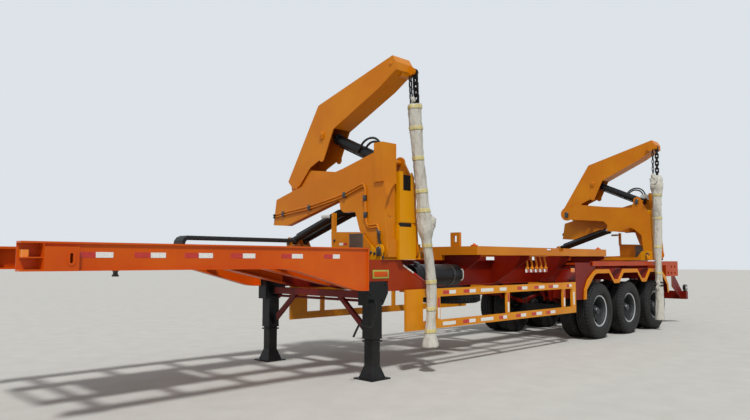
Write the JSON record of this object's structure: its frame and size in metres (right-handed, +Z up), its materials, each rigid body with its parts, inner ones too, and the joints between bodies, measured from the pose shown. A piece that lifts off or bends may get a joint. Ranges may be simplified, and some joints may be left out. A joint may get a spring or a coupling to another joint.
{
  "type": "sidelifter trailer",
  "caption": "Container semi-trailer chassis with gooseneck and twin wheels, and folding loading cranes at both ends that lift on the left side.",
  "frame": {"origin": "kingpin axis at the underside of the coupler plate, 1390 mm above the ground", "axes": "+X towards the gooseneck's front, +Y to the left, the side the cranes lift on, +Z up"},
  "size_m": [14.7, 2.706, 4.188],
  "materials": {
    "chassis_paint": "worn gloss orange",
    "crane_paint": "gloss yellow-orange",
    "black_paint": "satin black",
    "tyre_rubber": "matt",
    "rim_paint": "silver paint",
    "steel": "oiled steel",
    "chain_steel": "dark steel",
    "wrap_fabric": "white sleeve",
    "lamp_plastic": "red lamp lens"
  },
  "bodies": {
    "chassis": {"axles": "black_paint", "container_rails": "chassis_paint", "coupler_plate": "steel", "cross_members": "chassis_paint", "energy_chain": "chain_steel", "fenders": "chassis_paint", "gooseneck_beams": "chassis_paint", "kingpin": "steel", "lamps": "lamp_plastic", "landing_legs": "black_paint", "main_beams": "chassis_paint", "outriggers": "chassis_paint", "rear_frame": "chassis_paint", "side_guard_left": "chassis_paint", "side_guard_right": "chassis_paint", "spare_carrier": "black_paint", "spare_rim": "rim_paint", "spare_tyre": "tyre_rubber", "suspension": "black_paint", "tank": "black_paint", "twistlocks": "steel"},
    "wheel_1_left": {"tyres_1_left": "tyre_rubber", "rims_1_left": "rim_paint"},
    "wheel_1_right": {"tyres_1_right": "tyre_rubber", "rims_1_right": "rim_paint"},
    "wheel_2_left": {"tyres_2_left": "tyre_rubber", "rims_2_left": "rim_paint"},
    "wheel_2_right": {"tyres_2_right": "tyre_rubber", "rims_2_right": "rim_paint"},
    "wheel_3_left": {"tyres_3_left": "tyre_rubber", "rims_3_left": "rim_paint"},
    "wheel_3_right": {"tyres_3_right": "tyre_rubber", "rims_3_right": "rim_paint"},
    "front_crane_module": {"front_module": "crane_paint", "front_stabiliser": "black_paint"},
    "front_inner_arm_body": {"front_inner_arm": "crane_paint"},
    "front_outer_arm_body": {"front_outer_arm": "crane_paint"},
    "front_lift_barrels_body": {"front_lift_barrels": "black_paint"},
    "front_lift_rods_body": {"front_lift_rods": "steel"},
    "front_boom_barrel_body": {"front_boom_barrel": "black_paint"},
    "front_boom_rod_body": {"front_boom_rod": "steel"},
    "front_chain_body": {"front_chain": "chain_steel", "front_chain_wrap": "wrap_fabric"},
    "rear_crane_module": {"rear_module": "crane_paint", "rear_stabiliser": "black_paint"},
    "rear_inner_arm_body": {"rear_inner_arm": "crane_paint"},
    "rear_outer_arm_body": {"rear_outer_arm": "crane_paint"},
    "rear_lift_barrels_body": {"rear_lift_barrels": "black_paint"},
    "rear_lift_rods_body": {"rear_lift_rods": "steel"},
    "rear_boom_barrel_body": {"rear_boom_barrel": "black_paint"},
    "rear_boom_rod_body": {"rear_boom_rod": "steel"},
    "rear_chain_body": {"rear_chain": "chain_steel", "rear_chain_wrap": "wrap_fabric"}
  },
  "joints": [
    {"name": "wheel_1_left_turn", "type": "hinge", "parent": "chassis", "child": "wheel_1_left", "pos_m": [-8.835, 0.92, -0.86], "axis": [0, 1, 0], "continuous": true},
    {"name": "wheel_1_right_turn", "type": "hinge", "parent": "chassis", "child": "wheel_1_right", "pos_m": [-8.835, -0.92, -0.86], "axis": [0, 1, 0], "continuous": true},
    {"name": "wheel_2_left_turn", "type": "hinge", "parent": "chassis", "child": "wheel_2_left", "pos_m": [-10.145, 0.92, -0.86], "axis": [0, 1, 0], "continuous": true},
    {"name": "wheel_2_right_turn", "type": "hinge", "parent": "chassis", "child": "wheel_2_right", "pos_m": [-10.145, -0.92, -0.86], "axis": [0, 1, 0], "continuous": true},
    {"name": "wheel_3_left_turn", "type": "hinge", "parent": "chassis", "child": "wheel_3_left", "pos_m": [-11.455, 0.92, -0.86], "axis": [0, 1, 0], "continuous": true},
    {"name": "wheel_3_right_turn", "type": "hinge", "parent": "chassis", "child": "wheel_3_right", "pos_m": [-11.455, -0.92, -0.86], "axis": [0, 1, 0], "continuous": true},
    {"name": "front_module_slide", "type": "slide", "parent": "chassis", "child": "front_crane_module", "axis": [1, 0, 0], "range_m": [-1.1, 0]},
    {"name": "front_inner_arm_lift", "type": "hinge", "parent": "front_crane_module", "child": "front_inner_arm_body", "pos_m": [-3.25, 1.14, 0.23], "axis": [1, 0, 0], "range_deg": [-40, 0]},
    {"name": "front_outer_arm_fold", "type": "hinge", "parent": "front_inner_arm_body", "child": "front_outer_arm_body", "pos_m": [-3.25, -0.8, 1.23], "axis": [1, 0, 0], "range_deg": [0, 45]},
    {"name": "front_chain_swing", "type": "hinge", "parent": "front_outer_arm_body", "child": "front_chain_body", "pos_m": [-3.37, 1.36, 2.6], "axis": [1, 0, 0], "range_deg": [0, 40]},
    {"name": "front_lift_swing", "type": "hinge", "parent": "front_crane_module", "child": "front_lift_barrels_body", "pos_m": [-3.25, -1.08, 0.4], "axis": [1, 0, 0], "range_deg": [0, 5.34]},
    {"name": "front_lift_stroke", "type": "slide", "parent": "front_lift_barrels_body", "child": "front_lift_rods_body", "axis": [0, 0.9494, 0.3141], "range_m": [0, 0.7077]},
    {"name": "front_boom_cylinder_swing", "type": "hinge", "parent": "front_inner_arm_body", "child": "front_boom_barrel_body", "pos_m": [-3.25, 0.92, 1.44], "axis": [1, 0, 0], "range_deg": [0, 2.34]},
    {"name": "front_boom_cylinder_stroke", "type": "slide", "parent": "front_boom_barrel_body", "child": "front_boom_rod_body", "axis": [0, -0.9131, 0.4077], "range_m": [0, 0.7097]},
    {"name": "rear_module_slide", "type": "slide", "parent": "chassis", "child": "rear_crane_module", "axis": [1, 0, 0], "range_m": [0, 1.5]},
    {"name": "rear_inner_arm_lift", "type": "hinge", "parent": "rear_crane_module", "child": "rear_inner_arm_body", "pos_m": [-11.65, 1.14, 0.23], "axis": [1, 0, 0], "range_deg": [-40, 0]},
    {"name": "rear_outer_arm_fold", "type": "hinge", "parent": "rear_inner_arm_body", "child": "rear_outer_arm_body", "pos_m": [-11.65, -0.8, 1.23], "axis": [1, 0, 0], "range_deg": [0, 45]},
    {"name": "rear_chain_swing", "type": "hinge", "parent": "rear_outer_arm_body", "child": "rear_chain_body", "pos_m": [-11.43, 1.36, 2.6], "axis": [1, 0, 0], "range_deg": [0, 40]},
    {"name": "rear_lift_swing", "type": "hinge", "parent": "rear_crane_module", "child": "rear_lift_barrels_body", "pos_m": [-11.65, -1.08, 0.4], "axis": [1, 0, 0], "range_deg": [0, 5.34]},
    {"name": "rear_lift_stroke", "type": "slide", "parent": "rear_lift_barrels_body", "child": "rear_lift_rods_body", "axis": [0, 0.9494, 0.3141], "range_m": [0, 0.7077]},
    {"name": "rear_boom_cylinder_swing", "type": "hinge", "parent": "rear_inner_arm_body", "child": "rear_boom_barrel_body", "pos_m": [-11.65, 0.92, 1.44], "axis": [1, 0, 0], "range_deg": [0, 2.34]},
    {"name": "rear_boom_cylinder_stroke", "type": "slide", "parent": "rear_boom_barrel_body", "child": "rear_boom_rod_body", "axis": [0, -0.9131, 0.4077], "range_m": [0, 0.7097]}
  ],
  "couplings": [
    {"joint": "front_chain_swing", "follows": "front_inner_arm_lift", "ratio": -1},
    {"joint": "front_lift_swing", "follows": "front_inner_arm_lift", "ratio": -0.13325},
    {"joint": "front_lift_stroke", "follows": "front_inner_arm_lift", "m_per_rad": -1.0123},
    {"joint": "front_boom_cylinder_swing", "follows": "front_outer_arm_fold", "ratio": 0.05184},
    {"joint": "front_boom_cylinder_stroke", "follows": "front_outer_arm_fold", "m_per_rad": 0.90233},
    {"joint": "rear_chain_swing", "follows": "rear_inner_arm_lift", "ratio": -1},
    {"joint": "rear_lift_swing", "follows": "rear_inner_arm_lift", "ratio": -0.13325},
    {"joint": "rear_lift_stroke", "follows": "rear_inner_arm_lift", "m_per_rad": -1.0123},
    {"joint": "rear_boom_cylinder_swing", "follows": "rear_outer_arm_fold", "ratio": 0.05184},
    {"joint": "rear_boom_cylinder_stroke", "follows": "rear_outer_arm_fold", "m_per_rad": 0.90233}
  ]
}
